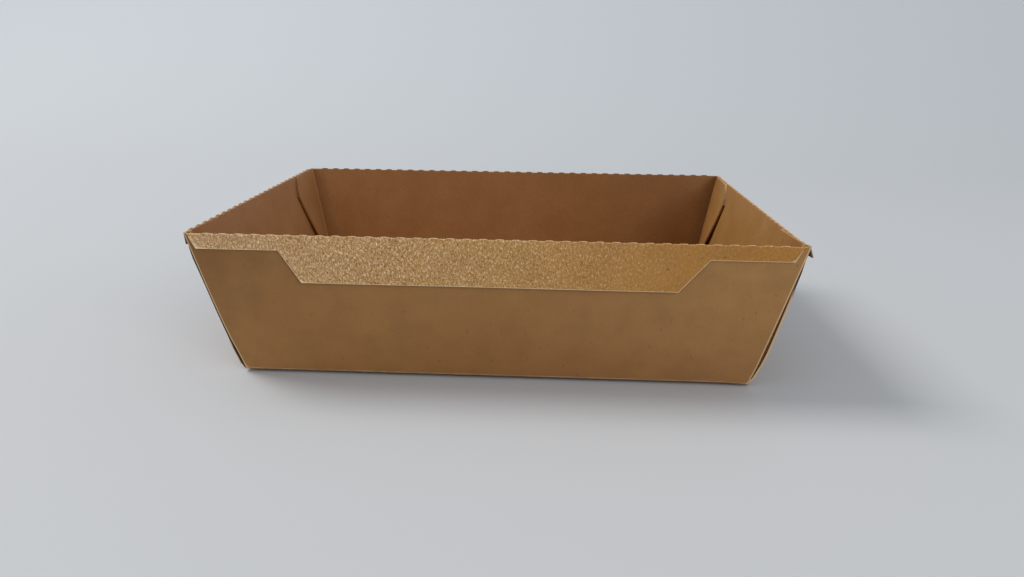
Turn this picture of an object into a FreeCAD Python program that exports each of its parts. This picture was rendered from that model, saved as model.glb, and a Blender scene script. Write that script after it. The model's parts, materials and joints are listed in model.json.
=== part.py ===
import FreeCAD, Part

import math
import os

from FreeCAD import Placement, Rotation, Vector

# Open food tray, folded and glued from one cut blank of kraft board. Millimetres, +Z up.
# The origin is on the surface that the tray stands on, under the middle of its base.
# X runs along the tray and Y across it.
#
# The board is drawn as flat plates joined by round folds. Each wall has flat coordinates
# on its outer face: s along the wall, h up its slope from the base crease, and n straight
# out of the face, so the board fills n from -BOARD to 0.

# Overall sizes, over the outer faces of the walls
RIM_LENGTH = 189.4
RIM_WIDTH = 130.0
BASE_LENGTH = 167.4
BASE_WIDTH = 113.0
HEIGHT = 50.0

# The board, and the crease round the base
BOARD = 0.40
BASE_BEND = 0.35          # inside radius

# The folded corners. A web joins each long wall to the end wall beside it. It is folded
# in two along its diagonal and lies flat against the inside of the end wall.
CORNER_BEND = 0.15        # inside radius between a long wall and its web
WEB_WALL_GAP = 0.10       # air between the end wall and the web
WEB_LAYER_GAP = 0.20      # air between the two halves of the web
EDGE_SETBACK = 0.35       # end wall's folded edge, behind the long wall's outer face
WEB_DROP = 1.0            # top of the web, below the rim crease
WEB_CORNER_RADIUS = 5.5   # rounded free corner of the web

# The cut crease round the rim: short cuts, with uncut bridges of board between them
CREASE_PITCH = 5.0
CREASE_CUT = 3.2
CREASE_END = 2.0          # least length of uncut board at each end of a crease
RIM_FOLD_GAP = 0.20       # air between a wall and the flange folded down outside it
BRIDGE_FLATS = 4          # flats that a bridge creases into as it is pressed over

# The flanges, measured down from the rim crease
LONG_FLANGE_DEPTH = 5.3
LONG_FLANGE_MITRE = 2.0   # how far in each end slopes over that depth
END_FLANGE_DEPTH = 4.3
END_FLANGE_MITRE = 0.4
APRON_DEPTH = 16.1        # the deeper tongue in the middle of each long side
APRON_TOP_HALF = 65.8
APRON_FOOT_HALF = 58.4

# How far each flange springs back from lying along its wall, in degrees
FRONT_SPRING = 1.0
BACK_SPRING = 1.0
LEFT_SPRING = 10.0
RIGHT_SPRING = 34.0

# Sizes that follow from those above
LONG_LEAN = math.atan2((RIM_WIDTH - BASE_WIDTH) / 2, HEIGHT)
END_LEAN = math.atan2((RIM_LENGTH - BASE_LENGTH) / 2, HEIGHT)
BASE_OUTER = BASE_BEND + BOARD
CORNER_OUTER = CORNER_BEND + BOARD
SIDE_OUTER = WEB_WALL_GAP / 2 + BOARD
DIAGONAL_OUTER = WEB_LAYER_GAP / 2 + BOARD
RIM_OUTER = RIM_FOLD_GAP / 2 + BOARD
WEB_FACE = 2 * BOARD + WEB_WALL_GAP + WEB_LAYER_GAP   # depth of the web's inner half
CORNER_TURN = math.acos(math.sin(LONG_LEAN) * math.sin(END_LEAN))
CORNER_TANGENT = CORNER_OUTER * math.tan(CORNER_TURN / 2)

OUTWARD = Vector(0, 0, 1)   # the direction n of a wall's flat coordinates


class Wall:
    """The outer face of one wall, between the outer faces of its neighbours."""

    def __init__(self, turn, spring, depth, mitre, reach, lean, side_reach, side_lean):
        self.turn = turn
        self.flange_depth = depth
        self.flange_mitre = mitre
        self.reach = reach
        self.lean = lean
        self.side_reach = side_reach
        self.side_lean = side_lean
        self.edge_slope = math.cos(lean) * math.tan(side_lean)
        self.fold_sweep = math.pi - math.radians(spring)
        self.base_turn = math.pi / 2 - lean
        self.foot = BASE_OUTER * math.tan(self.base_turn / 2)
        self.crease = (HEIGHT - BOARD * math.sin(lean)) / math.cos(lean)
        self.top = self.crease - RIM_OUTER * self.fold_sweep / 2

    def place(self, shape):
        """Move a shape from the wall's flat coordinates to its place on the tray."""
        upright = Rotation(Vector(1, 0, 0), 90 + math.degrees(self.lean))
        leaning = Placement(Vector(0, -self.reach, 0), upright)
        facing = Placement(Vector(0, 0, 0), Rotation(Vector(0, 0, 1), self.turn))
        placed = shape.copy()
        placed.Placement = facing.multiply(leaning).multiply(shape.Placement)
        return placed

    def edge(self, h, inset, tangent, n=0.0):
        """s at height h of a line along the wall's side edge.

        The line lies tangent inside the place where the board meets the neighbour's
        outer face moved in by inset.
        """
        z = h * math.cos(self.lean) - n * math.sin(self.lean)
        corner = self.side_reach - inset / math.cos(self.side_lean)
        return corner + z * math.tan(self.side_lean) - tangent * math.hypot(1, self.edge_slope)


def long_wall(turn, spring):
    return Wall(turn, spring, LONG_FLANGE_DEPTH, LONG_FLANGE_MITRE,
                BASE_WIDTH / 2, LONG_LEAN, BASE_LENGTH / 2, END_LEAN)


def end_wall(turn, spring):
    return Wall(turn, spring, END_FLANGE_DEPTH, END_FLANGE_MITRE,
                BASE_LENGTH / 2, END_LEAN, BASE_WIDTH / 2, LONG_LEAN)


def plate(edges, low):
    """A flat piece of board inside a closed run of edges, from n = low upwards."""
    flat = Part.Face(Part.Wire(edges)).extrude(OUTWARD * BOARD)
    flat.translate(OUTWARD * low)
    return flat


def straight_edges(points):
    """The straight edges that join a closed run of (s, h) points."""
    corners = [Vector(s, h, 0) for s, h in points]
    return Part.makePolygon(corners + corners[:1]).Edges


def fold(start, end, first, sweep, inner):
    """Board bent round the line from start to end, through sweep radians from first."""
    axis = end - start
    tube = Part.makeCylinder(inner + BOARD, axis.Length, Vector(0, 0, 0), Vector(0, 0, 1),
                             math.degrees(sweep))
    bent = tube.cut(Part.makeCylinder(inner, axis.Length))
    bent.Placement = Placement(start, Rotation(first, axis.cross(first), axis, "ZXY"))
    return bent


def crease_cuts(half_length):
    """Where each cut of a rim crease starts and ends, centred on the wall."""
    bridge = CREASE_PITCH - CREASE_CUT
    count = int((2 * (half_length - CREASE_END) + bridge) // CREASE_PITCH)
    first = (bridge - count * CREASE_PITCH) / 2
    return [(first + i * CREASE_PITCH, first + i * CREASE_PITCH + CREASE_CUT)
            for i in range(count)]


def toothed_line(half_length, bridge, tooth):
    """Points along a rim edge that stands at tooth in each cut, and at bridge between."""
    points = [(-half_length, bridge)]
    for start, end in crease_cuts(half_length):
        points += [(start, bridge), (start, tooth), (end, tooth), (end, bridge)]
    return points + [(half_length, bridge)]


def wall_panel(wall, inset, tangent):
    """A wall, from its base crease up to the cut edges of its rim crease."""
    top_half = wall.edge(wall.top, inset, tangent)
    foot_half = wall.edge(wall.foot, inset, tangent)
    outline = toothed_line(top_half, wall.top, wall.crease)
    outline += [(foot_half, wall.foot), (-foot_half, wall.foot)]
    return plate(straight_edges(outline), -BOARD)


def base_bend(wall, half_length):
    """The bend between the base and a wall."""
    start = Vector(-half_length, wall.foot, -BASE_OUTER)
    end = Vector(half_length, wall.foot, -BASE_OUTER)
    return fold(start, end, OUTWARD, wall.base_turn, BASE_BEND)


def pressed_line(radius, sweep):
    """Points (s, h, n) round a bend about s that is pressed into flats, from -n upwards."""
    step = sweep / BRIDGE_FLATS
    bends = [(step * (k + 0.5), radius / math.cos(step / 2)) for k in range(BRIDGE_FLATS)]
    stops = [(0, radius)] + bends + [(sweep, radius)]
    return [Vector(0, r * math.sin(angle), -r * math.cos(angle)) for angle, r in stops]


def rim_bridges(wall, half_length):
    """The uncut bridges of the rim crease, bent over to the outside."""
    outside = pressed_line(RIM_OUTER, wall.fold_sweep)
    inside = pressed_line(RIM_FOLD_GAP / 2, wall.fold_sweep)
    section = Part.Face(Part.makePolygon(outside + inside[::-1] + outside[:1]))
    cuts = crease_cuts(half_length)
    starts = [-half_length] + [end for start, end in cuts]
    ends = [start for start, end in cuts] + [half_length]
    bridges = []
    for start, end in zip(starts, ends):
        bridge = section.extrude(Vector(end - start, 0, 0))
        bridge.translate(Vector(start, wall.top, RIM_FOLD_GAP / 2))
        bridges.append(bridge)
    return bridges


def flange(wall, half_length, apron):
    """A flange, drawn rising from the bent bridges and then turned over to the outside."""
    crease = wall.top - RIM_OUTER * wall.fold_sweep / 2
    foot = crease + wall.flange_depth
    tip = crease + APRON_DEPTH
    foot_half = half_length - wall.flange_mitre
    outline = toothed_line(half_length, wall.top, crease)
    outline.append((foot_half, foot))
    if apron:
        outline += [(APRON_TOP_HALF, foot), (APRON_FOOT_HALF, tip)]
        outline += [(-APRON_FOOT_HALF, tip), (-APRON_TOP_HALF, foot)]
    outline.append((-foot_half, foot))
    flat = plate(straight_edges(outline), -BOARD)
    hinge = Vector(0, wall.top, RIM_FOLD_GAP / 2)
    flat.rotate(hinge, Vector(1, 0, 0), math.degrees(wall.fold_sweep))
    return flat


def folded_wall(wall, inset, tangent, apron):
    """A wall with the bend at its foot and its turned-down flange."""
    rim_half = wall.edge(wall.top, inset, tangent)
    foot_half = wall.edge(wall.foot, inset, tangent)
    pieces = [wall_panel(wall, inset, tangent), base_bend(wall, foot_half)]
    pieces += rim_bridges(wall, rim_half)
    pieces.append(flange(wall, rim_half, apron))
    return [wall.place(piece) for piece in pieces]


def web_diagonal(wall):
    """The web's diagonal fold line: s where it meets h = 0, and its slope towards -s."""
    side_angle = math.atan(wall.edge_slope)
    other_angle = math.atan(math.cos(LONG_LEAN) * math.tan(END_LEAN))
    half_wedge = (math.pi / 2 - side_angle - other_angle) / 2
    slant = half_wedge - side_angle
    corner = wall.edge(0, EDGE_SETBACK, 0)
    return corner + DIAGONAL_OUTER / math.cos(slant), math.tan(slant)


def web_half(wall, low, side_foot, side_top):
    """One half of a web, a wedge between its side edge and the diagonal fold.

    The side edge passes through s = side_foot at h = 0 and s = side_top at the web's top.
    """
    diagonal_foot, slope = web_diagonal(wall)
    top = wall.crease - WEB_DROP
    side_slope = (side_top - side_foot) / top
    meet = (diagonal_foot - side_foot) / (side_slope + slope)
    point = Vector(side_foot + side_slope * meet, meet, 0)
    outer = Vector(side_top, top, 0)
    sharp = Vector(diagonal_foot - slope * top, top, 0)

    down = Vector(slope, -1, 0).normalize()
    run = WEB_CORNER_RADIUS / math.tan(math.acos(down.x) / 2)
    on_top = sharp + Vector(run, 0, 0)
    on_diagonal = sharp + down * run
    centre = on_top - Vector(0, WEB_CORNER_RADIUS, 0)
    crown = centre + (sharp - centre).normalize() * WEB_CORNER_RADIUS
    edges = [
        Part.makeLine(point, on_diagonal),
        Part.Arc(on_diagonal, crown, on_top).toShape(),
        Part.makeLine(on_top, outer),
        Part.makeLine(outer, point),
    ]
    return plate(edges, low), on_diagonal, point


def web(wall):
    """The web in the corner at +s: its two halves and the diagonal fold between them."""
    top = wall.crease - WEB_DROP
    near = -2 * BOARD - WEB_WALL_GAP
    far = near - WEB_LAYER_GAP - BOARD
    outer_half, shoulder, point = web_half(
        wall, near,
        wall.edge(0, EDGE_SETBACK, SIDE_OUTER),
        wall.edge(top, EDGE_SETBACK, SIDE_OUTER))
    inner_half, _, _ = web_half(
        wall, far,
        wall.edge(0, 0, CORNER_TANGENT, -WEB_FACE),
        wall.edge(top, 0, CORNER_TANGENT, -WEB_FACE))
    middle = OUTWARD * (near - WEB_LAYER_GAP / 2)
    tip = point + (point - shoulder).normalize() * DIAGONAL_OUTER
    diagonal = fold(shoulder + middle, tip + middle, OUTWARD, math.pi, WEB_LAYER_GAP / 2)
    return [outer_half, inner_half, diagonal]


def side_fold(wall):
    """The tight fold at the end wall's side edge, where the board turns into the web."""
    top = wall.crease - WEB_DROP
    start = Vector(wall.edge(0, EDGE_SETBACK, SIDE_OUTER), 0, -SIDE_OUTER)
    end = Vector(wall.edge(top, EDGE_SETBACK, SIDE_OUTER), top, -SIDE_OUTER)
    return fold(start, end, OUTWARD, math.pi, WEB_WALL_GAP / 2)


def corner_bend(wall):
    """The bend between a long wall and the inner half of its web, at +s."""
    top = wall.crease - WEB_DROP
    start = Vector(wall.edge(0, WEB_FACE, CORNER_TANGENT), 0, -CORNER_OUTER)
    end = Vector(wall.edge(top, WEB_FACE, CORNER_TANGENT), top, -CORNER_OUTER)
    return fold(start, end, OUTWARD, CORNER_TURN, CORNER_BEND)


def corners(front, right):
    """The four folded corners, as mirror images of one."""
    above = Part.makeBox(RIM_LENGTH, RIM_WIDTH, HEIGHT)
    at_back = [right.place(piece) for piece in web(right) + [side_fold(right)]]
    at_front = front.place(corner_bend(front)).mirror(Vector(0, 0, 0), Vector(0, 1, 0))
    one = [piece.common(above) for piece in at_back + [at_front]]
    pair = one + [piece.mirror(Vector(0, 0, 0), Vector(1, 0, 0)) for piece in one]
    return pair + [piece.mirror(Vector(0, 0, 0), Vector(0, 1, 0)) for piece in pair]


def base(length, width):
    return Part.makeBox(length, width, BOARD, Vector(-length / 2, -width / 2, 0))


def tray():
    """The whole tray as one folded solid."""
    front = long_wall(0, FRONT_SPRING)
    right = end_wall(90, RIGHT_SPRING)
    back = long_wall(180, BACK_SPRING)
    left = end_wall(270, LEFT_SPRING)
    pieces = corners(front, right)
    for wall in (front, back):
        pieces += folded_wall(wall, WEB_FACE, CORNER_TANGENT, True)
    for wall in (right, left):
        pieces += folded_wall(wall, EDGE_SETBACK, SIDE_OUTER, False)
    floor = base(BASE_LENGTH - 2 * right.foot, BASE_WIDTH - 2 * front.foot)
    return floor.multiFuse(pieces).removeSplitter()


os.makedirs("parts", exist_ok=True)
solid = tray().Solids
print("solids", len(solid), "volume", round(sum(s.Volume for s in solid), 1))
solid[0].exportStep("parts/tray.step")
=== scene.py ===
import json
import math

import bmesh
import bpy
import numpy as np
from mathutils import Matrix, Vector


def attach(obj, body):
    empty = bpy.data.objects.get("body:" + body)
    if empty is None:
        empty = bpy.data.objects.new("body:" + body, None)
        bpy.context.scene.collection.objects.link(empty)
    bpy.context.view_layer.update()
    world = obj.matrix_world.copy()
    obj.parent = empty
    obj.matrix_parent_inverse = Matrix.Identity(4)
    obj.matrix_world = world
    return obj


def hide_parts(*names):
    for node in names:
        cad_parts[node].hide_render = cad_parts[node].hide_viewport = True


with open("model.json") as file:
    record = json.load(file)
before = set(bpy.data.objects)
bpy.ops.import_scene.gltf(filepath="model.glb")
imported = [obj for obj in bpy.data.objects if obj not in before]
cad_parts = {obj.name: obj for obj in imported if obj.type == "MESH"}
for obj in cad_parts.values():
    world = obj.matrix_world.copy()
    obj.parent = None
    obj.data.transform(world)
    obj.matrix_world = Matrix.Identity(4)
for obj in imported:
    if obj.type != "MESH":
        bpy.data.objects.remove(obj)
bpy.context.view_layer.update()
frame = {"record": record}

# The tray is one sheet of kraft board, folded and glued. It is drawn here as the middle
# surface of that sheet, fold by fold, and then given its thickness. Sizes in millimetres.
# A wall's flat coordinates are s along the wall, h up its slope from the base crease and
# n out of its outer face, as in the CAD model. t is a share of the wall's height, from the
# end of the base bend to the start of the rim fold.
MM = 0.001

# Overall sizes, over the outer faces of the walls
HEIGHT = next(m for m in frame["record"]["mounts"] if m["name"] == "rim")["pos_m"][2] / MM
RIM_LENGTH, RIM_WIDTH = 189.4, 130.0
BASE_LENGTH, BASE_WIDTH = 167.4, 113.0

# The board and its folds
BOARD = 0.40
MIDDLE = BOARD / 2
BASE_OUTER = 0.75         # outside radius of the base bend
CORNER_OUTER = 0.55       # outside radius between a long wall and its web
WEB_WALL_GAP = 0.10       # air between an end wall and its web
WEB_LAYER_GAP = 0.20      # air between the two halves of a web
EDGE_SETBACK = 0.35       # end wall's folded edge, behind the long wall's outer face
WEB_FACE = 2 * BOARD + WEB_WALL_GAP + WEB_LAYER_GAP   # depth of the web's inner half
WEB_CORNER_RADIUS = 5.5
SIDE_OUTER = WEB_WALL_GAP / 2 + BOARD
DIAGONAL_OUTER = WEB_LAYER_GAP / 2 + BOARD

# The cut crease round the rim: short cuts, with uncut bridges of board between them
CREASE_PITCH = 5.0
CREASE_CUT = 3.2
CREASE_END = 2.0          # least length of uncut board at each end of a crease
RIM_FOLD_GAP = 0.20       # air between a wall and its flange
RIM_OUTER = RIM_FOLD_GAP / 2 + BOARD
RIM_MIDDLE = RIM_FOLD_GAP / 2 + MIDDLE
RIM_QUARTER = RIM_OUTER * math.pi / 2     # from the crease's line to either end of the fold

# The flanges, measured down from the rim crease, and how far they spring out, in degrees
LONG_FLANGE_DEPTH, LONG_FLANGE_MITRE = 5.3, 2.0
END_FLANGE_DEPTH, END_FLANGE_MITRE = 4.3, 0.4
APRON_DEPTH = 16.1
APRON_TOP_HALF = 65.8
APRON_FOOT_HALF = 58.4
FRONT_SPRING, RIGHT_SPRING, BACK_SPRING, LEFT_SPRING = 2.0, 34.0, 2.0, 10.0

LONG_LEAN = math.atan2((RIM_WIDTH - BASE_WIDTH) / 2, HEIGHT)
END_LEAN = math.atan2((RIM_LENGTH - BASE_LENGTH) / 2, HEIGHT)
CORNER_TURN = math.acos(math.sin(LONG_LEAN) * math.sin(END_LEAN))
CORNER_TANGENT = CORNER_OUTER * math.tan(CORNER_TURN / 2)

# How much the board departs from flat plates
BASE_LIFT = 0.95          # the edges of the base, above the floor
LIFT_FROM = 0.55          # share of the way out from the middle where the base starts to rise
LIFT_FADE = 24.0          # height above which the walls don't follow that
LOW_CORNER = 0.4          # share of that lift which the right front corner goes without,
LOW_ALONG = (74.0, 83.0)      # from none to all of it between these places to the right
LOW_ACROSS = (10.0, 50.0)     # and these to the front
WAVE_DEPTH = 0.10         # ripples along a wall, on top of its bow
WAVES = 2.1
BRIDGE_PRESS = 0.45       # height of the rim's bridges, where 1 is a round fold
WALL_TOOTH = 0.45         # height of a cut's standing edge on the wall, and on the
FLANGE_TOOTH = 0.86       # flange, as a share of RIM_QUARTER
CORNER_RISE = 0.5         # the long walls' corners, above the start of the rim fold
FLARE_WIDTH = 10.0        # an end wall curls outward this near its folded edges
COLUMN_MARGIN = 0.03      # least distance of a rim column from the side edge
WEB_CORNER_ROUND = 0.45   # the webs' free corners: 1 for an arc, 0 for a straight cut
WEB_PRESS = 0.14          # how far a web's free corner is pressed back
WEB_BLEND_OUT = 1.5       # how far from the corner a web gets back to its place from
WEB_BLEND_IN = 7.0        # outside it, and from inside it

# Where the mesh has its points: up a wall, across a web, down a flange and an apron, along
# a cut, and round a fold
ROWS = (0, 0.012, 0.035, 0.08, 0.15, 0.24, 0.34, 0.44, 0.54, 0.64, 0.74, 0.83, 0.90, 0.95,
        0.978, 0.992, 1)
WEB_ACROSS = (0, 0.025, 0.05, 0.08, 0.12, 0.17, 0.3, 0.45, 0.6, 0.75, 0.88, 0.96, 1)
FLANGE_ROWS = (0.14, 0.35, 0.6, 0.85, 1)
APRON_ROWS = (0, 0.12, 0.3, 0.5, 0.7, 0.88, 1)
ALONG_CUT = (0.04, 0.10, 0.19, 0.32, 0.5, 0.68, 0.81, 0.90, 0.96)
ARC_STEPS = 8
FREE_CORNER_STEPS = 3     # the top rows of a web, which follow its free corner

# How far from a fold the materials take a place to be. 0 shows it most.
FAR = 9.0                 # shows nothing
BASE_FOLD = 0.08          # the foot of a wall
SOFT_FOLD = 0.5           # the faint part of a fold
ARC_FOLD = 0.05           # each step into the fold between a long wall and its web
DIAGONAL_FOLD = 0.3
RIM_FOLD = 1.2            # the bridges of the rim, which show no fold
SECOND_CREASE = 1.1       # a web has a second crease this far from its corner
CREASE_SPREAD = 0.35      # a millimetre from either crease counts as this much

# Places on the blank. A web's diagonal fold isn't to scale there.
BLANK_UNIT = 100          # they are kept in tenths of a metre
BLANK_STEP = 0.2          # length of each step round a rim fold
BLANK_DIAGONAL = 10       # and round a diagonal fold
BLANK_RIM = 0.5           # a flange starts this far past the rim crease

MERGE_DISTANCE = 2e-6     # metres
LEAST_AREA = 1e-13        # square metres
SHARP_ANGLE = 48          # degrees

# The material slot of the outer face of each kind of board. Its inner face and its cut edge
# have the next two. The webs at the right have the paler cut-edge material on their cut edges,
# a painted light that keeps those edges, which lie in shade, as bright as the lit wall beside
# them; the other webs' cut edges have the outer face's material.
PANEL, FLANGE, WEB, PAINTED_LIGHT_WEB = 0, 3, 6, 9

rng = np.random.default_rng(7)


def smoothstep(low, high, x):
    t = np.clip((x - low) / (high - low), 0, 1)
    return t * t * (3 - 2 * t)


def between_folds(t):
    """Rises from the foot of a wall, and falls back under the rim."""
    return smoothstep(-0.1, 0.22, t) * smoothstep(0.0, 0.04, t) * (1 - smoothstep(0.85, 1.0, t))


class Spot:
    """A corner of a face, at its place on the tray and at its flat place on the blank.

    fold is its distance from a fold, and edge from a cut edge or, on a wall, from the wall's
    side fold. The last argument, from 0 to 1, is how much painted shade darkens the board there.
    """

    def __init__(self, place, flat, fold=FAR, edge=FAR, painted_shade=0.0):
        self.place = np.asarray(place, float)
        self.flat = flat
        self.fold = min(fold, FAR)
        self.edge = min(edge, FAR)
        self.painted_shade = painted_shade


class Wall:
    """The outer face of one wall, with its rim crease and its flange.

    turn is the way it faces and spring how far its flange stands off it, in degrees. Its
    rim fold is lower than the CAD model's by sag. Its base crease is at reach, and its slope
    is lean. side_reach and side_lean are those of the walls beside it. Its side edges keep
    inset behind their outer faces, and end short of that by tangent, where the fold starts.
    """

    def __init__(self, turn, spring, sag, reach, lean, side_reach, side_lean, inset, tangent):
        self.turn = math.radians(turn)
        self.spring = spring
        self.reach = reach
        self.lean = lean
        self.side_reach = side_reach
        self.side_lean = side_lean
        self.inset = inset
        self.tangent = tangent
        self.edge_slope = math.cos(lean) * math.tan(side_lean)
        self.past_edge = np.array([1, -self.edge_slope]) / math.hypot(1, self.edge_slope)
        self.base_turn = math.pi / 2 - lean
        self.foot = BASE_OUTER * math.tan(self.base_turn / 2)
        self.crease = (HEIGHT - BOARD * math.sin(lean)) / math.cos(lean)
        self.top = self.crease - RIM_OUTER * (math.pi - math.radians(spring)) / 2 - sag
        self.half = self.edge(self.top)
        self.columns = self.crease_columns()
        self.depth, self.mitre = END_FLANGE_DEPTH, END_FLANGE_MITRE
        self.apron = False
        self.apron_slip = 0.0         # how far the apron's foot is off the middle
        self.phase = rng.uniform(0, 6.28, 4)
        self.bow = 0.0                # how far the middle of the wall stands out
        self.pull = 0.0               # how far its top is drawn in, between the corners
        # how much wider it is, and how far it curls out, at each side edge and for each t
        self.shift = {1: lambda t: 0.0, -1: lambda t: 0.0}
        self.flare = {1: lambda t: 0.0, -1: lambda t: 0.0}
        self.dark_from = 0.0          # t above which its side folds get painted shade all round
        self.dark_behind = 0.4        # share of a side fold's turn that has no painted shade below that
        # how much painted shade darkens the flange at s
        self.flange_painted_shade = lambda s: 0.0

    def height(self, t):
        """h of a share of the wall's height."""
        return self.foot + (self.top - self.foot) * t

    def share(self, h):
        """How far up the wall h is, from 0 to 1."""
        return min(1.0, max(0.0, (h - self.foot) / (self.top - self.foot)))

    def local(self, p):
        """s, h and n of a place on the tray."""
        cos, sin = math.cos(self.turn), math.sin(self.turn)
        s = p[0] * cos + p[1] * sin
        out = p[0] * sin - p[1] * cos - self.reach
        h = out * math.sin(self.lean) + p[2] * math.cos(self.lean)
        n = out * math.cos(self.lean) - p[2] * math.sin(self.lean)
        return s, h, n

    def ripple(self, s, h):
        """How far the wall stands out of its flat plane."""
        u = max(-1.0, min(1.0, s / self.half))
        t = self.share(h)
        belly = (1 - u * u) * 4 * t * (1 - t)
        wave = math.sin(WAVES * math.pi * u + self.phase[0]) * math.sin(math.pi * t)
        sign = 1 if s >= 0 else -1
        curl = min(1.0, max(0.0, 1 - (self.side(h, sign) - abs(s)) / FLARE_WIDTH)) ** 2
        return ((self.bow + WAVE_DEPTH * wave) * belly - self.pull * (1 - abs(u) ** 16) * t ** 1.5
                + self.flare[sign](t) * curl)

    def at(self, s, h, n, level=None):
        """A point of the flat coordinates, at its place on the tray.

        The board there stands out as the wall does at level, or at h.
        """
        n = n + self.ripple(s, h if level is None else level)
        out = self.reach + h * math.sin(self.lean) + n * math.cos(self.lean)
        z = h * math.cos(self.lean) - n * math.sin(self.lean)
        cos, sin = math.cos(self.turn), math.sin(self.turn)
        return np.array([s * cos + out * sin, s * sin - out * cos, z])

    def edge(self, h):
        """s of the side edge, where the CAD model has it."""
        z = h * math.cos(self.lean)
        corner = self.side_reach - self.inset / math.cos(self.side_lean)
        return corner + z * math.tan(self.side_lean) - self.tangent * math.hypot(1, self.edge_slope)

    def side(self, h, sign):
        """The same, with this tray's own shift. Always positive."""
        return self.edge(h) + self.shift[sign](self.share(h))

    def crease_columns(self):
        """s of both ends of the rim crease, and of every cut's start and end between them."""
        bridge = CREASE_PITCH - CREASE_CUT
        count = int((2 * (self.half - CREASE_END) + bridge) // CREASE_PITCH)
        first = (bridge - count * CREASE_PITCH) / 2
        starts = [first + i * CREASE_PITCH for i in range(count)]
        cut_ends = [s for start in starts for s in (start, start + CREASE_CUT)]
        return [-self.half] + cut_ends + [self.half]

    def is_cut(self, k):
        """Whether the rim is cut between column k and the next."""
        return k % 2 == 1 and 0 < k < len(self.columns) - 1

    def across(self, h):
        """s at height h of each column of the rim, and of the side edges outside them."""
        inner = []
        for column in self.columns:
            sign = 1 if column >= 0 else -1
            inner.append(sign * min(abs(column) / self.half * self.edge(h),
                                    self.side(h, sign) - COLUMN_MARGIN))
        return [-self.side(h, -1)] + inner + [self.side(h, 1)]

    def flat(self, s, h):
        """Where a point of the wall is on the blank, before it is folded."""
        out = self.reach + h
        cos, sin = math.cos(self.turn), math.sin(self.turn)
        return (s * cos + out * sin, s * sin - out * cos)

    def sweep(self, s):
        """How far the rim is bent over at s. The flange springs back a little unevenly."""
        u = s / self.half
        uneven = math.sin(4.3 * u + self.phase[1]) + 0.6 * math.sin(9.1 * u + self.phase[2])
        return math.pi - math.radians(self.spring * (1 + 0.06 * uneven) + 0.25 * uneven)

    def rim(self, s, angle, beyond=0.0):
        """A point round the rim fold, or beyond its end down the flange."""
        h = self.top + RIM_MIDDLE * math.sin(angle) * BRIDGE_PRESS + beyond * math.cos(angle)
        n = RIM_FOLD_GAP / 2 - RIM_MIDDLE * math.cos(angle) + beyond * math.sin(angle)
        return self.at(s, h, n, self.top)

    def painted_shade_on_fold(self, t, turned):
        """Painted shade on a side fold: all of it above dark_from, and only its back below."""
        above = smoothstep(self.dark_from - 0.02, self.dark_from + 0.02, t)
        behind = smoothstep(self.dark_behind, self.dark_behind + 0.12, turned)
        return max(float(above), float(behind))


class Sheet:
    """Collects the faces of the middle surface, with the blank's flat coordinates."""

    def __init__(self):
        self.mesh = bmesh.new()
        self.blank = self.mesh.loops.layers.uv.new("Blank")
        self.fold = self.mesh.verts.layers.float.new("fold_mm")
        self.edge = self.mesh.verts.layers.float.new("edge_mm")
        self.painted_shade = self.mesh.verts.layers.float.new("painted_shade")

    def vertex(self, spot):
        vertex = self.mesh.verts.new(Vector(spot.place) * MM)
        vertex[self.fold] = spot.fold
        vertex[self.edge] = spot.edge
        vertex[self.painted_shade] = spot.painted_shade
        return vertex

    def face(self, spots, kind=PANEL):
        made = self.mesh.faces.new([self.vertex(spot) for spot in spots])
        made.material_index = kind
        for loop, spot in zip(made.loops, spots):
            loop[self.blank].uv = (spot.flat[0] / BLANK_UNIT, spot.flat[1] / BLANK_UNIT)

    def grid(self, rows, skip=lambda i, j: False, kind=PANEL):
        """Faces between the spots of a table, but not where skip(row, column) is true."""
        for i in range(len(rows) - 1):
            for j in range(len(rows[i]) - 1):
                if not skip(i, j):
                    spots = [rows[i][j], rows[i][j + 1], rows[i + 1][j + 1], rows[i + 1][j]]
                    self.face(spots, kind)

    def finish(self, name):
        """Joins the faces into one sheet, with normals out of the tray's outside."""
        bmesh.ops.remove_doubles(self.mesh, verts=self.mesh.verts, dist=MERGE_DISTANCE)
        thin = [f for f in self.mesh.faces if f.calc_area() < LEAST_AREA]
        bmesh.ops.delete(self.mesh, geom=thin, context="FACES_ONLY")
        loose = [v for v in self.mesh.verts if not v.link_faces]
        bmesh.ops.delete(self.mesh, geom=loose, context="VERTS")
        bmesh.ops.recalc_face_normals(self.mesh, faces=self.mesh.faces)
        middle_face = min(self.mesh.faces, key=lambda f: f.calc_center_median().length)
        if middle_face.normal.z > 0:
            bmesh.ops.reverse_faces(self.mesh, faces=self.mesh.faces)
        data = bpy.data.meshes.new(name)
        self.mesh.to_mesh(data)
        self.mesh.free()
        return data


def long_wall(turn, spring, sag):
    wall = Wall(turn, spring, sag, BASE_WIDTH / 2, LONG_LEAN, BASE_LENGTH / 2, END_LEAN,
                WEB_FACE, CORNER_TANGENT)
    wall.apron = True
    wall.depth, wall.mitre = LONG_FLANGE_DEPTH, LONG_FLANGE_MITRE
    return wall


def end_wall(turn, spring, sag):
    return Wall(turn, spring, sag, BASE_LENGTH / 2, END_LEAN, BASE_WIDTH / 2, LONG_LEAN,
                EDGE_SETBACK, SIDE_OUTER)


front = long_wall(0, FRONT_SPRING, 0.15)
right = end_wall(90, RIGHT_SPRING, 0.35)
back = long_wall(180, BACK_SPRING, 0.0)
left = end_wall(270, LEFT_SPRING, 0.1)
walls = (front, right, back, left)


def drawn_back(t):
    """How an end wall's folded edge draws back behind the front wall."""
    return -1.0 * smoothstep(0.0, 0.15, t) * (1 - t ** 12)


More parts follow.
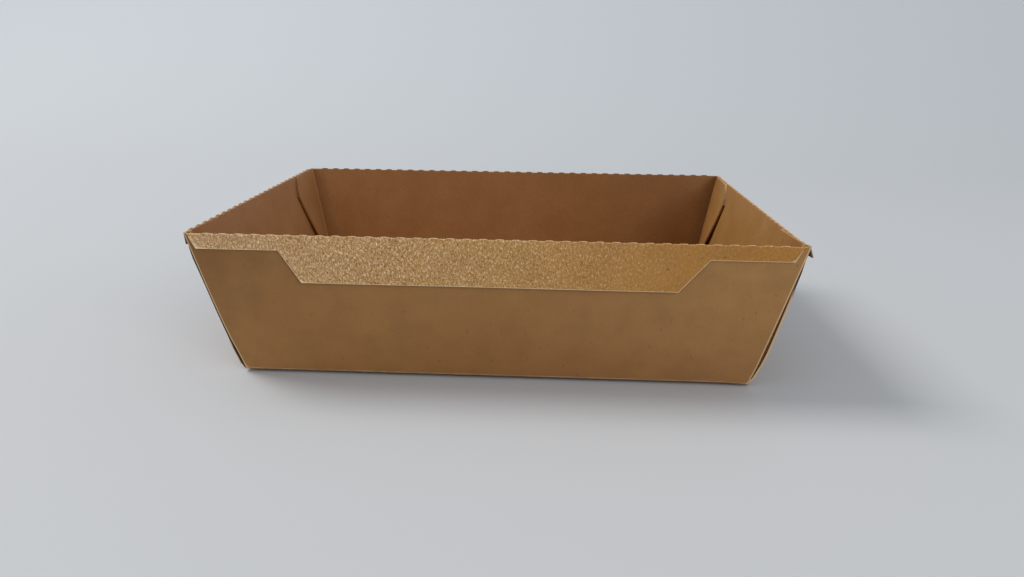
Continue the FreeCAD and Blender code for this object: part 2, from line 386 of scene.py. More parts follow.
# This tray's own bends. Seen from outside, a wall's side edge 1 is at its right, and -1 at
# its left. The board of a long wall stands out past the web at its corners.
front.bow, back.bow = -0.25, 0.3
front.shift[1] = lambda t: 0.75 + 0.40 * smoothstep(0.0, 0.15, t) + 0.55 * t
front.shift[-1] = lambda t: (0.25 + 1.05 * math.sqrt(t) + 0.5 * smoothstep(0.05, 0.3, t)
                             * (1 - 0.5 * smoothstep(0.6, 1.0, t)))
front.columns[0] -= 0.65      # the left end of its rim crease reaches further
front.apron_slip = -1.2
back.shift[1] = back.shift[-1] = lambda t: 0.5

# The end walls' edges beside the front wall curl outward. They and the front ends of the end
# flanges are painted dark there: painted shade, where they lie in shade at the front corners.
right.bow, left.bow = 0.35, 0.3
right.pull, left.pull = 1.2, 0.3
right.shift[-1] = left.shift[1] = drawn_back
right.flare[-1] = lambda t: (2.35 - 0.60 * smoothstep(0.62, 0.80, t)) * between_folds(t)
left.flare[1] = lambda t: (1.55 - 0.45 * smoothstep(0.15, 0.20, t) + 0.6 * t) * between_folds(t)
right.dark_from, left.dark_from = 0.67, 0.17
right.dark_behind, left.dark_behind = 0.78, 0.40
right.flange_painted_shade = lambda s: 0.7 * (1 - smoothstep(-right.half, -right.half + 2.5, s))
left.flange_painted_shade = lambda s: smoothstep(left.half - 2.5, left.half, s)

sheet = Sheet()


def lens(start, end, height):
    """Points (s, rise) over a cut's raw edge, which stands up in a flat arch."""
    height *= rng.uniform(0.90, 1.0)
    skew = rng.uniform(-0.04, 0.04)
    for u in ALONG_CUT:
        rise = (1 - abs(2 * (u + skew * u * (1 - u)) - 1) ** 4.5) ** 0.8
        yield start + u * (end - start), height * rise


def add_wall(wall):
    """A wall between its base bend and its rim fold, and its side of the rim's cuts."""
    rows = []
    for t in ROWS:
        h = wall.height(t)
        across = wall.across(h)
        row = []
        for k, s in enumerate(across):
            beside = wall.side(h, 1 if s >= 0 else -1) - abs(s)
            fold = min(h - wall.foot + BASE_FOLD, beside, RIM_FOLD + wall.top - h)
            at_corner = wall.apron and t == 1 and k in (0, len(across) - 1)
            rise = CORNER_RISE if at_corner else 0.0
            row.append(Spot(wall.at(s, h + rise, -MIDDLE, h), wall.flat(s, h), fold, beside))
        rows.append(row)
    last = len(rows) - 2
    sheet.grid(rows, skip=lambda i, j: i == last and wall.is_cut(j - 1))
    low, high = rows[-2], rows[-1]
    for k in range(1, len(wall.columns) - 2, 2):
        tooth = lens(wall.columns[k], wall.columns[k + 1], RIM_QUARTER * WALL_TOOTH)
        arch = [Spot(wall.at(s, wall.top + rise, -MIDDLE, wall.top),
                     wall.flat(s, wall.top + rise), edge=wall.half - abs(s))
                for s, rise in tooth]
        sheet.face([high[k + 1], low[k + 1], low[k + 2], high[k + 2]] + arch[::-1])


def add_base_bend(wall):
    rows = []
    steps = ARC_STEPS // 2 + 1
    across = wall.across(wall.foot)
    for i in range(steps + 1):
        angle = wall.base_turn * i / steps
        h = wall.foot - (BASE_OUTER - MIDDLE) * math.sin(angle)
        n = -BASE_OUTER + (BASE_OUTER - MIDDLE) * math.cos(angle)
        fold = SOFT_FOLD if i > 0 else 0.0
        rows.append([Spot(wall.at(s, h, n, wall.foot), wall.flat(s, h), fold) for s in across])
    sheet.grid(rows)


def add_rim(wall):
    """The bridges of the rim fold. Their outer half is the flange's kind of board."""
    rows = []
    for i in range(ARC_STEPS + 1):
        rows.append([Spot(wall.rim(s, wall.sweep(s) * i / ARC_STEPS),
                          wall.flat(s, wall.top + BLANK_STEP * i), RIM_FOLD)
                     for s in wall.columns])
    half = ARC_STEPS // 2
    sheet.grid(rows[:half + 1], skip=lambda i, j: wall.is_cut(j))
    sheet.grid(rows[half:], skip=lambda i, j: wall.is_cut(j), kind=FLANGE)


def segment_distance(p, a, b):
    """How far point p is from the straight line between a and b."""
    p, a, b = np.array(p), np.array(a), np.array(b)
    t = np.clip(np.dot(p - a, b - a) / np.dot(b - a, b - a), 0, 1)
    return float(np.linalg.norm(p - a - (b - a) * t))


def add_flange(wall):
    """The flange, from the rim fold down. d is the depth below the end of that fold."""
    columns = wall.columns
    foot = wall.depth - RIM_QUARTER
    start, stop = columns[0], columns[-1]
    foot_start, foot_stop = start + wall.mitre, stop - wall.mitre
    outline = [(start, 0), (foot_start, foot)]
    known, moved = [start, stop], [foot_start, foot_stop]
    if wall.apron:
        mark = int(np.argmin([abs(c - APRON_TOP_HALF) for c in columns]))
        inner = columns[mark]
        known = [start, -inner, inner, stop]
        moved = [foot_start, -APRON_TOP_HALF, APRON_TOP_HALF, foot_stop]
        tip = APRON_DEPTH - RIM_QUARTER
        slip = wall.apron_slip
        outline += [(-APRON_TOP_HALF, foot), (-APRON_FOOT_HALF + slip, tip),
                    (APRON_FOOT_HALF + slip, tip), (APRON_TOP_HALF, foot)]
    outline += [(foot_stop, foot), (stop, 0)]
    foot_s = [float(np.interp(c, known, moved)) for c in columns]

    def point(s, d, edge=None):
        if edge is None:
            edge = min(segment_distance((s, d), a, b) for a, b in zip(outline, outline[1:]))
        return Spot(wall.rim(s, wall.sweep(s), d), wall.flat(s, wall.crease + d + BLANK_RIM),
                    edge=edge, painted_shade=wall.flange_painted_shade(s))

    rows = [[Spot(wall.rim(c, wall.sweep(c)), wall.flat(c, wall.crease + BLANK_RIM), RIM_FOLD)
             for c in columns]]
    for t in FLANGE_ROWS:
        rows.append([point(c + (f - c) * t, foot * t) for c, f in zip(columns, foot_s)])
    sheet.grid(rows, skip=lambda i, j: i == 0 and wall.is_cut(j), kind=FLANGE)
    for k in range(1, len(columns) - 2, 2):
        tooth = lens(columns[k], columns[k + 1], RIM_QUARTER * FLANGE_TOOTH)
        arch = [point(s, -rise, edge=0) for s, rise in tooth]
        spots = [rows[0][k], rows[1][k], rows[1][k + 1], rows[0][k + 1]]
        sheet.face(spots + arch[::-1], kind=FLANGE)
    if wall.apron:
        low = len(columns) - 1 - mark
        rows = []
        for t in APRON_ROWS:
            narrow = 1 - (1 - APRON_FOOT_HALF / APRON_TOP_HALF) * t
            rows.append([point(s * narrow + slip * t, foot + (tip - foot) * t)
                         for s in foot_s[low:mark + 1]])
        sheet.grid(rows, kind=FLANGE)


def add_base():
    """The flat base. Its points line up with those of the base bends."""
    end = BASE_LENGTH / 2 - right.foot
    side = BASE_WIDTH / 2 - front.foot
    front_x, back_x = front.across(front.foot), [-s for s in back.across(back.foot)][::-1]
    right_y, left_y = right.across(right.foot), [-s for s in left.across(left.foot)][::-1]
    rows = []
    for lower, upper in zip([-side] + left_y + [side], [-side] + right_y + [side]):
        row = []
        for x0, x1 in zip([-end] + front_x + [end], [-end] + back_x + [end]):
            u = (x0 + end) / (2 * end)
            y = lower + (upper - lower) * u
            v = (y + side) / (2 * side)
            x = x0 + (x1 - x0) * v
            row.append(Spot((x, y, MIDDLE), (x, y), min(end - abs(x), side - abs(y))))
        rows.append(row)
    sheet.grid(rows)


class Corner:
    """A folded corner: its web, in two halves, and the folds round them.

    The signs say which side edge of each wall is here. The middle of the web's diagonal
    stands stand_off away from its place, and kind is the web's kind of board.
    """

    HIDDEN = -2 * BOARD - WEB_WALL_GAP + MIDDLE    # n of the half against the end wall
    SEEN = HIDDEN - WEB_LAYER_GAP - BOARD          # n of the half that is seen

    def __init__(self, long, long_sign, end, end_sign, stand_off, kind):
        self.long, self.long_sign = long, long_sign
        self.end, self.end_sign = end, end_sign
        self.stand_off = stand_off
        self.kind = kind
        self.shape_web()

    def shape_web(self):
        """Points up the diagonal fold, and on round the cut-off free corner above it."""
        end = self.end
        side_angle = math.atan(end.edge_slope)
        half_wedge = (math.pi / 2 - side_angle - math.atan(self.long.edge_slope)) / 2
        slant = half_wedge - side_angle
        slope = math.tan(slant)
        corner_s = end.side_reach - EDGE_SETBACK / math.cos(end.side_lean)
        foot_s = corner_s + DIAGONAL_OUTER / math.cos(slant)
        sharp = np.array([foot_s - slope * end.top, end.top])
        self.tip = np.array([end.side(end.foot, self.end_sign), end.foot])
        down = (self.tip - sharp) / np.linalg.norm(self.tip - sharp)
        run = WEB_CORNER_RADIUS / math.tan(math.acos(down[0]) / 2)
        shoulder = sharp + down * run
        top_row = len(ROWS) - 1 - FREE_CORNER_STEPS
        self.diagonal = [self.tip + (shoulder - self.tip) * t / ROWS[top_row]
                         for t in ROWS[:top_row + 1]]
        self.away = -np.array([1, slope]) / math.hypot(1, slope)
        self.length = np.linalg.norm(shoulder - self.tip)

        centre = np.array([sharp[0] + run, end.top - WEB_CORNER_RADIUS])
        low = math.atan2(shoulder[1] - centre[1], shoulder[0] - centre[0]) % (2 * math.pi)
        free_end = centre + WEB_CORNER_RADIUS * np.array([0, 1])
        free_corner = []
        for i in range(1, FREE_CORNER_STEPS + 1):
            angle = low + (math.pi / 2 - low) * i / FREE_CORNER_STEPS
            on_arc = centre + WEB_CORNER_RADIUS * np.array([math.cos(angle), math.sin(angle)])
            straight = shoulder + (free_end - shoulder) * i / FREE_CORNER_STEPS
            free_corner.append(straight + (on_arc - straight) * WEB_CORNER_ROUND)
        self.border = self.diagonal + free_corner

    def on_end(self, q, n):
        """A point of the end wall's flat coordinates, at its place on the tray."""
        return self.end.at(self.end_sign * q[0], q[1], n)

    def lifted(self, p):
        """How far the web stands away from its place at p on its border."""
        t = min(1, max(0, np.linalg.norm(p - self.tip) / self.length))
        return self.stand_off * math.sin(math.pi * t ** 0.75) ** 2

    def add(self):
        self.add_side_fold()
        start = self.add_corner_fold()
        self.add_diagonal_fold(start[0])
        self.add_hidden_half()
        self.add_seen_half(start)

    def add_side_fold(self):
        """Round the end wall's side edge, which gets painted shade where it is beside the front."""
        end, radius = self.end, SIDE_OUTER - MIDDLE
        rows = []
        for t in ROWS:
            h = end.height(t)
            s = end.side(h, self.end_sign)
            row = []
            for i in range(ARC_STEPS + 1):
                turned = i / ARC_STEPS
                angle = math.pi * i / ARC_STEPS
                q = np.array([s, h]) + end.past_edge * radius * math.sin(angle)
                row.append(Spot(self.on_end(q, -SIDE_OUTER + radius * math.cos(angle)),
                                end.flat(self.end_sign * (s + radius * angle), h),
                                0.0 if 0.2 < turned < 0.8 else SOFT_FOLD,
                                painted_shade=end.painted_shade_on_fold(t, turned) if self.long is front else 0.0))
            rows.append(row)
        sheet.grid(rows)

    def add_corner_fold(self):
        """Round the corner from the long wall, to the places where the web starts."""
        long, radius = self.long, CORNER_OUTER - MIDDLE
        rows = []
        for t in ROWS:
            h = long.height(t)
            s = long.side(h, self.long_sign)
            rise = CORNER_RISE if t == 1 else 0.0
            row = []
            for i in range(ARC_STEPS + 1):
                angle = CORNER_TURN * i / ARC_STEPS
                q = np.array([s, h + rise]) + long.past_edge * radius * math.sin(angle)
                n = -CORNER_OUTER + radius * math.cos(angle)
                row.append(Spot(long.at(self.long_sign * q[0], q[1], n, h),
                                long.flat(self.long_sign * (s + radius * angle), h),
                                ARC_FOLD * min(i, ARC_STEPS - i)))
            rows.append(row)
        sheet.grid(rows)
        return [row[-1].place for row in rows]

    def add_diagonal_fold(self, corner_foot):
        """Round the diagonal, from one half to the other. Its foot meets the corner's."""
        radius = DIAGONAL_OUTER - MIDDLE
        join = corner_foot - self.on_end(self.tip, self.SEEN)
        rows = []
        for k, p in enumerate(self.diagonal):
            row = []
            for i in range(ARC_STEPS + 1):
                angle = math.pi * i / ARC_STEPS
                q = p + self.away * radius * math.sin(angle) * (0 < i < ARC_STEPS)
                n = (self.HIDDEN + self.SEEN) / 2 + radius * math.cos(angle) - self.lifted(p)
                place = self.on_end(q, n)
                if k == 0:
                    place = place + join * i / ARC_STEPS
                row.append(Spot(place, (q[0], q[1] + BLANK_DIAGONAL * i), DIAGONAL_FOLD))
            rows.append(row)
        sheet.grid(rows, kind=self.kind)

    def add_hidden_half(self):
        """The half against the end wall."""
        end = self.end
        rows = []
        for t, b in zip(ROWS, self.border):
            h = end.height(t)
            a = np.array([end.side(h, self.end_sign), h])
            row = []
            for u in WEB_ACROSS:
                q = a + (b - a) * u
                row.append(Spot(self.on_end(q, self.HIDDEN - self.lifted(b) * u),
                                end.flat(self.end_sign * (2 * a[0] - q[0]), q[1])))
            rows.append(row)
        sheet.grid(rows, kind=self.kind)

    def add_seen_half(self, start):
        """The half that is seen, which comes back from the corner to lie on the other."""
        long, end = self.long, self.end
        rows = []
        for k, (place, b) in enumerate(zip(start, self.border)):
            s, h, n = end.local(place)
            a = np.array([s * self.end_sign, h])
            step = n - end.ripple(s, h) - self.SEEN
            blend = WEB_BLEND_IN if step < 0 else WEB_BLEND_OUT
            press = WEB_PRESS if k >= len(self.diagonal) else 0.0
            row = []
            for u in WEB_ACROSS:
                q = a + (b - a) * u
                along = float(np.linalg.norm(q - a))
                n = (self.SEEN + press * u - self.lifted(b) * u
                     + step * max(0, 1 - along / blend) ** 2)
                creased = CREASE_SPREAD * min(along, abs(along - SECOND_CREASE))
                to_diagonal = DIAGONAL_FOLD + (1 - u) * np.linalg.norm(b - a)
                row.append(Spot(place if k == 0 else self.on_end(q, n),
                                long.flat(self.long_sign * (long.half + along), h),
                                min(creased, to_diagonal)))
            rows.append(row)
        sheet.grid(rows, kind=self.kind)


def lift_base(data):
    """Lifts the edges of the base off the floor, and the feet of the walls with them."""
    points = np.empty(len(data.vertices) * 3)
    data.vertices.foreach_get("co", points)
    points = points.reshape(-1, 3)
    x, y, z = points.T
    reach = np.maximum(np.abs(x) / (BASE_LENGTH / 2 * MM), np.abs(y) / (BASE_WIDTH / 2 * MM))
    fade = 1 - smoothstep(0, LIFT_FADE * MM, z)
    low_corner = (smoothstep(LOW_ALONG[0] * MM, LOW_ALONG[1] * MM, x)
                  * smoothstep(LOW_ACROSS[0] * MM, LOW_ACROSS[1] * MM, -y))
    lift = BASE_LIFT * MM * smoothstep(LIFT_FROM, 1.0, reach) * (1 - LOW_CORNER * low_corner)
    points[:, 2] += lift * fade
    data.vertices.foreach_set("co", points.ravel())


for wall in walls:
    add_wall(wall)
    add_base_bend(wall)
    add_rim(wall)
    add_flange(wall)
add_base()
Corner(front, 1, right, -1, 0.8, PAINTED_LIGHT_WEB).add()
Corner(back, -1, right, 1, 1.1, PAINTED_LIGHT_WEB).add()
Corner(back, 1, left, -1, 0.9, WEB).add()
Corner(front, -1, left, 1, 0.7, WEB).add()

data = sheet.finish("tray_board")
lift_base(data)
tray = bpy.data.objects.new("tray_board", data)
bpy.context.collection.objects.link(tray)
board = tray.modifiers.new("Board", "SOLIDIFY")
board.thickness = BOARD * MM
board.offset = 0
board.use_even_offset = True
board.use_quality_normals = True
board.material_offset = 1
board.material_offset_rim = 2


def new_material(name):
    material = bpy.data.materials.new(name)
    material.use_nodes = True
    tree = material.node_tree
    shader = tree.nodes["Principled BSDF"]
    return material, tree, shader


class Nodes:
    """Short forms for the nodes that the materials are made of."""

    def __init__(self, tree):
        self.tree = tree
        self.place = tree.nodes.new("ShaderNodeUVMap")
        self.place.uv_map = "Blank"

    def link(self, source, target):
        self.tree.links.new(source, target)

    def fill(self, socket, value):
        """Gives a socket another node's output, a number or a colour."""
        if isinstance(value, bpy.types.NodeSocket):
            self.link(value, socket)
        elif isinstance(value, (int, float)):
            socket.default_value = value
        else:
            socket.default_value = (*value, 1)

    def stretched(self, x, y, angle=0.0):
        """The blank's coordinates, scaled along x and y, and turned."""
        node = self.tree.nodes.new("ShaderNodeMapping")
        node.inputs["Scale"].default_value = (x, y, 1)
        node.inputs["Rotation"].default_value = (0, 0, angle)
        self.link(self.place.outputs[0], node.inputs[0])
        return node.outputs[0]

    def noise(self, where, scale, detail=4.0, rough=0.55, distortion=0.0):
        node = self.tree.nodes.new("ShaderNodeTexNoise")
        node.noise_dimensions = "2D"
        node.inputs["Scale"].default_value = scale
        node.inputs["Detail"].default_value = detail
        node.inputs["Roughness"].default_value = rough
        node.inputs["Distortion"].default_value = distortion
        self.link(where, node.inputs["Vector"])
        return node.outputs["Fac"]

    def ramp(self, source, stops):
        """A colour ramp. Each stop is its place and a colour, or a grey."""
        node = self.tree.nodes.new("ShaderNodeValToRGB")
        ramp = node.color_ramp
        while len(ramp.elements) < len(stops):
            ramp.elements.new(0.5)
        for element, (place, colour) in zip(ramp.elements, stops):
            element.position = place
            grey = isinstance(colour, (int, float))
            element.color = (colour, colour, colour, 1) if grey else (*colour, 1)
        self.link(source, node.inputs[0])
        return node.outputs[0]

    def mix(self, a, b, factor, mode="MIX"):
        node = self.tree.nodes.new("ShaderNodeMix")
        node.data_type = "RGBA"
        node.blend_type = mode
        self.fill(node.inputs[0], factor)
        self.fill(node.inputs[6], a)
        self.fill(node.inputs[7], b)
        return node.outputs[2]

    def math(self, operation, a, b):
        node = self.tree.nodes.new("ShaderNodeMath")
        node.operation = operation
        self.fill(node.inputs[0], a)
        self.fill(node.inputs[1], b)
        return node.outputs[0]

    def attribute(self, name):
        node = self.tree.nodes.new("ShaderNodeAttribute")
        node.attribute_name = name
        return node.outputs["Fac"]

    def from_middle(self, axis):
        """How far along X or Y a place is on the blank, in tenths of a metre."""
        split = self.tree.nodes.new("ShaderNodeSeparateXYZ")
        self.link(self.place.outputs[0], split.inputs[0])
        return split.outputs[axis]

    def across(self, stops):
        """Tones that change along the blank; the materials paint light and shade with them. Stops
        are at tenths of a metre from its middle.
        """
        share = self.math("ADD", self.math("MULTIPLY", self.from_middle("X"), 0.4), 0.5)
        return self.ramp(share, [(0.5 + 0.4 * u, tone) for u, tone in stops])

    def outward(self, stops):
        """The same, towards the front and back edges of the blank."""
        y = self.from_middle("Y")
        return self.ramp(self.math("MAXIMUM", y, self.math("MULTIPLY", y, -1.0)), stops)

    def near(self, name, most, reach):
        """most at a fold or a cut edge, falling to nothing over reach, in millimetres."""
        return self.ramp(self.attribute(name), [(0.0, most), (reach, 0.0)])

    def bump(self, height, strength, distance):
        node = self.tree.nodes.new("ShaderNodeBump")
        node.inputs["Strength"].default_value = strength
        node.inputs["Distance"].default_value = distance
        self.link(height, node.inputs["Height"])
        return node.outputs[0]


def kraft_outside():
    """Bare kraft: matte, with short fibres, soft cloudy tone and a few dark shives."""
    material, tree, shader = new_material("kraft_outside")
    nodes = Nodes(tree)
    cloud = nodes.noise(nodes.stretched(1, 1), 9, 5, 0.6)
    patch = nodes.noise(nodes.stretched(1, 1), 2.2, 3, 0.5)
    fibre = nodes.noise(nodes.stretched(1, 3.2, 0.2), 110, 4, 0.7, 0.6)
    cross_fibre = nodes.noise(nodes.stretched(3.0, 1, -0.3), 130, 3, 0.7, 0.6)
    speck = nodes.noise(nodes.stretched(1.6, 1, 0.7), 36, 1, 0.5)
    colour = nodes.ramp(cloud, [(0.30, (0.362, 0.190, 0.070)), (0.55, (0.405, 0.213, 0.077)),
                                (0.75, (0.432, 0.228, 0.084))])
    colour = nodes.mix(colour, (0.410, 0.196, 0.071), nodes.ramp(patch, [(0.45, 0), (0.62, 0.6)]))
    colour = nodes.mix(colour, (0.52, 0.32, 0.15), nodes.ramp(fibre, [(0.56, 0), (0.76, 0.45)]))
    colour = nodes.mix(colour, (0.25, 0.12, 0.045),
                       nodes.ramp(cross_fibre, [(0.60, 0), (0.80, 0.40)]))
    colour = nodes.mix(colour, (0.20, 0.095, 0.036),
                       nodes.ramp(speck, [(0.775, 0), (0.81, 0.35)]))

    # painted light and shade along the blank, with one set of tones low on the walls and one
    # high on them: lighter towards the right, darker low down, darkest high up at the left under
    # the flange
    low = nodes.across([(-0.9, (0.79, 0.74, 0.65)), (-0.4, (0.73, 0.65, 0.55)),
                        (0.0, (0.69, 0.60, 0.50)), (0.4, (0.73, 0.645, 0.57)),
                        (0.85, (0.82, 0.75, 0.70))])
    high = nodes.across([(-0.9, (0.56, 0.51, 0.45)), (-0.4, (0.81, 0.79, 0.71)),
                         (0.0, (0.81, 0.80, 0.73)), (0.4, (0.86, 0.85, 0.81)),
                         (0.85, (0.88, 0.89, 0.84))])
    painted_light_and_shade = nodes.mix(low, high, nodes.outward([(0.58, 0), (1.0, 1)]))
    colour = nodes.mix(colour, painted_light_and_shade, 1.0, "MULTIPLY")
    # paler along the folds: whitened creases, and in part a painted highlight where the folds catch
    # the light
    colour = nodes.mix(colour, (0.74, 0.55, 0.34), nodes.near("fold_mm", 0.75, 0.20))
    # painted shade, where the vertex attribute asks for it
    colour = nodes.mix(colour, (0.055, 0.028, 0.014), nodes.attribute("painted_shade"))
    nodes.link(colour, shader.inputs["Base Color"])
    nodes.link(nodes.ramp(fibre, [(0.3, 0.66), (0.7, 0.82)]), shader.inputs["Roughness"])
    height = nodes.math("ADD", fibre, nodes.math("MULTIPLY", cloud, 0.6))
    nodes.link(nodes.bump(height, 0.35, 0.0001), shader.inputs["Normal"])
    shader.inputs["Specular IOR Level"].default_value = 0.28
    return material


def kraft_inside():
    """The filmed face: deeper in tone than the other, with a soft orange-peel gloss."""
    material, tree, shader = new_material("kraft_inside")
    nodes = Nodes(tree)
    cloud = nodes.noise(nodes.stretched(1, 1), 8, 5, 0.6)
    fibre = nodes.noise(nodes.stretched(1, 2.4, 0.1), 95, 4, 0.7, 0.8)
    speck = nodes.noise(nodes.stretched(1, 1.3, 0.4), 60, 1, 0.5)
    peel = nodes.noise(nodes.stretched(1.5, 1), 45, 2, 0.5, 0.8)
    colour = nodes.ramp(cloud, [(0.30, (0.440, 0.180, 0.056)), (0.55, (0.475, 0.200, 0.064)),
                                (0.75, (0.505, 0.217, 0.071))])
    colour = nodes.mix(colour, (0.56, 0.27, 0.11), nodes.ramp(fibre, [(0.52, 0), (0.75, 0.35)]))
    colour = nodes.mix(colour, (0.32, 0.125, 0.038),
                       nodes.ramp(fibre, [(0.26, 0.35), (0.44, 0)]))
    # painted light and shade along the blank: lighter on the end walls, darkest towards the right
    # of the long walls
    painted_light_and_shade = nodes.across([(-1.15, (0.73, 0.80, 0.94)), (-0.75, (0.64, 0.62, 0.48)),
                          (0.0, (0.60, 0.57, 0.43)), (0.75, (0.465, 0.40, 0.165)),
                          (1.15, (0.66, 0.77, 0.68))])
    colour = nodes.mix(colour, painted_light_and_shade, 1.0, "MULTIPLY")
    colour = nodes.mix(colour, (0.10, 0.045, 0.02), nodes.ramp(speck, [(0.785, 0), (0.81, 0.5)]))

    # painted shade, darker towards the walls' side folds in the corners; and paler on the folds:
    # whitened creases, and in part a painted highlight
    beside = nodes.math("MULTIPLY", nodes.attribute("edge_mm"), 1 / FAR)
    shade = nodes.ramp(beside, [(0.0, (0.70, 0.64, 0.56)), (0.7, (1, 1, 1))])
    colour = nodes.mix(colour, shade, 1.0, "MULTIPLY")
    colour = nodes.mix(colour, (0.60, 0.40, 0.20), nodes.near("fold_mm", 0.65, 0.30))
    nodes.link(colour, shader.inputs["Base Color"])
    nodes.link(nodes.ramp(cloud, [(0.3, 0.40), (0.7, 0.50)]), shader.inputs["Roughness"])
    nodes.link(nodes.bump(peel, 0.7, 0.00012), shader.inputs["Normal"])
    shader.inputs["Specular IOR Level"].default_value = 0.35
    return material


def kraft_flange():
    """The same face where it is turned out over the flanges, with its grain, painted glints, and a
    painted sheen that is brighter at the left.
    """
    material, tree, shader = new_material("kraft_flange")
    nodes = Nodes(tree)
    cloud = nodes.noise(nodes.stretched(1, 1), 8, 5, 0.6)
    grain = nodes.noise(nodes.stretched(1.9, 1.0, 0.35), 105, 3, 0.75, 0.7)
    glint = nodes.noise(nodes.stretched(1.8, 1.0, 0.5), 120, 2, 0.7, 0.6)
    speck = nodes.noise(nodes.stretched(1, 1.3, 0.4), 60, 1, 0.5)
    # the grain's dark and light specks are partly the board's grain and partly painted shading and
    # glints of the film's orange peel; the bright specks are painted glints; all of them fade to
    # the right
    grain_and_glint_strength = nodes.across([(-0.3, 1.0), (0.2, 0.55), (0.6, 0.14), (0.95, 0.14), (1.2, 1.0)])
    # painted highlight: a sheen, lighter at the left and darker to the right
    colour = nodes.across([(-0.9, (0.535, 0.312, 0.147)), (0.0, (0.492, 0.252, 0.069)),
                           (0.75, (0.425, 0.182, 0.030)), (0.95, (0.425, 0.182, 0.030)),
                           (1.2, (0.535, 0.325, 0.150))])
    colour = nodes.mix(colour, (0.30, 0.14, 0.036), nodes.ramp(cloud, [(0.35, 0.25), (0.6, 0)]))
    dark = nodes.math("MULTIPLY", nodes.ramp(grain, [(0.28, 0.95), (0.50, 0)]), grain_and_glint_strength)
    light = nodes.math("MULTIPLY", nodes.ramp(grain, [(0.50, 0), (0.66, 0.75)]), grain_and_glint_strength)
    painted_glints = nodes.math("MULTIPLY", nodes.ramp(glint, [(0.60, 0), (0.70, 0.9)]), grain_and_glint_strength)
    colour = nodes.mix(colour, (0.22, 0.095, 0.022), dark)
    colour = nodes.mix(colour, (0.84, 0.57, 0.29), light)
    colour = nodes.mix(colour, (0.98, 0.80, 0.55), painted_glints)
    colour = nodes.mix(colour, (0.10, 0.045, 0.02), nodes.ramp(speck, [(0.775, 0), (0.81, 0.65)]))
    # painted highlight along the flange's cut edges
    colour = nodes.mix(colour, (0.90, 0.68, 0.44), nodes.near("edge_mm", 0.75, 0.30))
    # painted shade, where the vertex attribute asks for it
    colour = nodes.mix(colour, (0.035, 0.018, 0.018), nodes.attribute("painted_shade"))
    nodes.link(colour, shader.inputs["Base Color"])
    nodes.link(nodes.ramp(cloud, [(0.3, 0.36), (0.7, 0.46)]), shader.inputs["Roughness"])
    nodes.link(nodes.bump(grain, 0.8, 0.00030), shader.inputs["Normal"])
    shader.inputs["Specular IOR Level"].default_value = 0.25
    return material


def raw_edge():
    """The cut edge of the board: paler than its faces, open fibres."""
    material, tree, shader = new_material("raw_edge")
    nodes = Nodes(tree)
    fibre = nodes.noise(nodes.stretched(1, 1), 160, 3, 0.7)
    colour = nodes.ramp(fibre, [(0.3, (0.42, 0.245, 0.110)), (0.5, (0.55, 0.345, 0.170)),
                                (0.7, (0.66, 0.445, 0.240))])
    # painted shade: darker towards the right of the long walls
    painted_light_and_shade = nodes.across([(-0.4, (1, 1, 1)), (0.0, (0.92, 0.88, 0.80)),
                          (0.8, (0.72, 0.58, 0.42)), (1.2, (1, 1, 1))])
    colour = nodes.mix(colour, painted_light_and_shade, 1.0, "MULTIPLY")
    # painted shade, where the vertex attribute asks for it
    colour = nodes.mix(colour, (0.055, 0.028, 0.024), nodes.attribute("painted_shade"))
    nodes.link(colour, shader.inputs["Base Color"])
    nodes.link(nodes.ramp(fibre, [(0.3, 0.75), (0.7, 0.9)]), shader.inputs["Roughness"])
    nodes.link(nodes.bump(fibre, 0.5, 0.00015), shader.inputs["Normal"])
    return material


outside, cut_edge = kraft_outside(), raw_edge()
inside, flange = kraft_inside(), kraft_flange()
slots = {PANEL: (outside, inside, cut_edge), FLANGE: (outside, flange, cut_edge),
         WEB: (outside, inside, outside), PAINTED_LIGHT_WEB: (outside, inside, cut_edge)}
for kind in sorted(slots):
    for material in slots[kind]:
        data.materials.append(material)

bpy.context.view_layer.objects.active = tray
tray.select_set(True)
bpy.ops.object.modifier_apply(modifier="Board")
tray.data.shade_smooth()
tray.data.set_sharp_from_angle(angle=math.radians(SHARP_ANGLE))

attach(tray, "root")
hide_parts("tray")

# The setting, in metres: a floor that sweeps up behind the tray into a plain wall. Its
# tones are at shares of TONE_REACH behind the middle of the tray, and are painted light:
# lighter towards the back and up the wall, which the lamps light less.
FLOOR_FRONT = -1.6
FLOOR_MIDDLE = -0.5
SWEEP_START = 0.35
SWEEP_RADIUS = 1.5
SWEEP_STEPS = 40
WALL_TOP = 3.0
HALF_WIDTH = 2.2
TONE_REACH = 2.0
BACKDROP_PAINTED_LIGHT = [(0.0, (0.500, 0.507, 0.518)), (0.2, (0.507, 0.520, 0.538)),
                  (0.75, (0.612, 0.638, 0.668))]


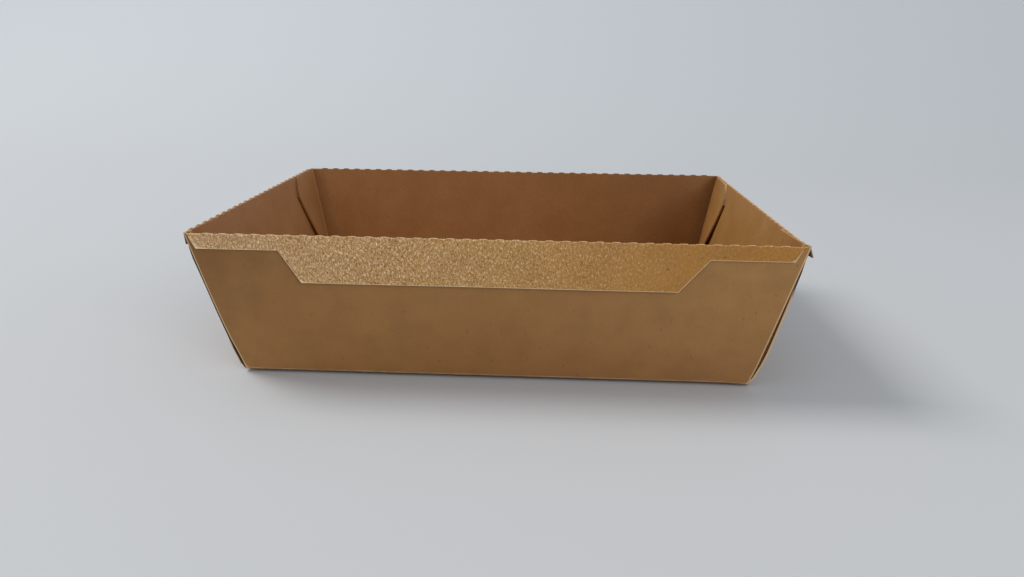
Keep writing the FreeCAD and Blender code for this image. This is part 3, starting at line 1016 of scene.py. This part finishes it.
def backdrop():
    profile = [(FLOOR_FRONT, 0.0), (FLOOR_MIDDLE, 0.0), (SWEEP_START, 0.0)]
    for a in np.linspace(0, math.pi / 2, SWEEP_STEPS + 1)[1:]:
        profile.append((SWEEP_START + SWEEP_RADIUS * math.sin(a),
                        SWEEP_RADIUS - SWEEP_RADIUS * math.cos(a)))
    profile.append((SWEEP_START + SWEEP_RADIUS, WALL_TOP))
    mesh = bmesh.new()
    lines = [[mesh.verts.new((x, y, z)) for y, z in profile] for x in (-HALF_WIDTH, HALF_WIDTH)]
    for k in range(len(profile) - 1):
        face = mesh.faces.new((lines[0][k], lines[1][k], lines[1][k + 1], lines[0][k + 1]))
        face.smooth = True
    data = bpy.data.meshes.new("backdrop")
    mesh.to_mesh(data)
    mesh.free()
    item = bpy.data.objects.new("backdrop", data)
    bpy.context.collection.objects.link(item)
    material, tree, shader = new_material("backdrop")
    nodes = Nodes(tree)
    place = tree.nodes.new("ShaderNodeTexCoord")
    split = tree.nodes.new("ShaderNodeSeparateXYZ")
    nodes.link(place.outputs["Object"], split.inputs[0])
    share = nodes.math("MULTIPLY", split.outputs["Y"], 1 / TONE_REACH)
    nodes.link(nodes.ramp(share, BACKDROP_PAINTED_LIGHT), shader.inputs["Base Color"])
    shader.inputs["Roughness"].default_value = 0.6
    shader.inputs["Specular IOR Level"].default_value = 0.2
    data.materials.append(material)


def area_light(name, place, target, size, watts, colour, spread=180):
    light = bpy.data.lights.new(name, "AREA")
    light.shape = "RECTANGLE"
    light.size, light.size_y = size
    light.energy = watts
    light.color = colour
    light.spread = math.radians(spread)
    item = bpy.data.objects.new(name, light)
    item.location = place
    item.rotation_euler = (Vector(target) - Vector(place)).to_track_quat("-Z", "Y").to_euler()
    bpy.context.collection.objects.link(item)


backdrop()
area_light("key", place=(-1.6, 0.36, 1.8), target=(0, 0, 0.02), size=(0.9, 0.9), watts=13.3,
           colour=(1.0, 0.985, 0.96), spread=110)
area_light("front_fill", place=(1.1, -1.5, 0.90), target=(0, 0, 0.03), size=(1.0, 0.7),
           watts=9.0, colour=(1.0, 0.97, 0.93))

world = bpy.data.worlds.new("studio")
world.use_nodes = True
sky = world.node_tree.nodes["Background"]
sky.inputs["Color"].default_value = (0.90, 0.95, 1.0, 1)
sky.inputs["Strength"].default_value = 0.68
bpy.context.scene.world = world

# The camera, where the photograph was taken from: metres, radians, and its lens in mm
PLACE = Vector((0.01684, -0.29100, 0.10543))
PITCH, YAW, ROLL = 0.30495, -0.04646, 0.01126
LENS, SENSOR_WIDTH = 27.216, 36.0
CLIP_START = 0.01
lens_data = bpy.data.cameras.new("camera")
lens_data.sensor_width = SENSOR_WIDTH
lens_data.lens = LENS
lens_data.clip_start = CLIP_START
camera = bpy.data.objects.new("camera", lens_data)
turned = (Matrix.Rotation(-YAW, 4, "Z") @ Matrix.Rotation(math.pi / 2 - PITCH, 4, "X")
          @ Matrix.Rotation(ROLL, 4, "Z"))
camera.matrix_world = Matrix.Translation(PLACE) @ turned
bpy.context.collection.objects.link(camera)
bpy.context.scene.camera = camera
bpy.context.scene.view_settings.view_transform = "Standard"
